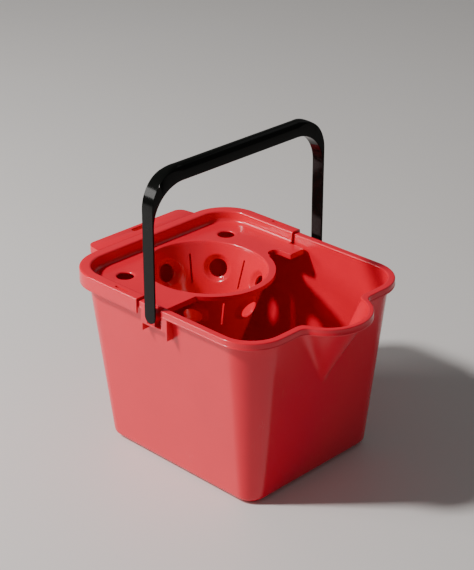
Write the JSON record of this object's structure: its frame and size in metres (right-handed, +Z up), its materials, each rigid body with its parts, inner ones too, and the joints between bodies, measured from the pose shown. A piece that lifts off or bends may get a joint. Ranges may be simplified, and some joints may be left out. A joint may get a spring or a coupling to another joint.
{
  "type": "mop bucket with wringer",
  "caption": "Plastic mop bucket with a pouring spout, a swinging bail handle and a lift-out wringer tray with a perforated cone.",
  "frame": {"origin": "on the floor, at the middle of the bounding box", "axes": "+X towards the pouring spout, +Z up, Y along the handle's pivot axis"},
  "size_m": [0.4052, 0.306, 0.421],
  "materials": {
    "red_plastic": "satin gloss, moulded in one colour",
    "black_plastic": "satin gloss, moulded in one colour"
  },
  "bodies": {
    "bucket": {"bucket_shell": "red_plastic", "bucket_lip": "red_plastic", "foot_ring": "red_plastic", "pivot_bracket_near": "red_plastic", "pivot_bracket_far": "red_plastic"},
    "wringer": {"tray_frame": "red_plastic", "tray_deck": "red_plastic", "lift_tab": "red_plastic", "wringer_cone": "red_plastic", "cone_lip": "red_plastic"},
    "handle": {"grip_bar": "black_plastic", "arm_near": "black_plastic", "arm_far": "black_plastic", "stud_near": "black_plastic", "stud_far": "black_plastic"}
  },
  "joints": [
    {"name": "handle_swing", "type": "hinge", "parent": "bucket", "child": "handle", "pos_m": [-0.0076, 0, 0.233], "axis": [0, 1, 0], "range_deg": [-80, 82]},
    {"name": "wringer_lift", "type": "slide", "parent": "bucket", "child": "wringer", "axis": [0, 0, 1], "range_m": [0, 0.15]}
  ]
}
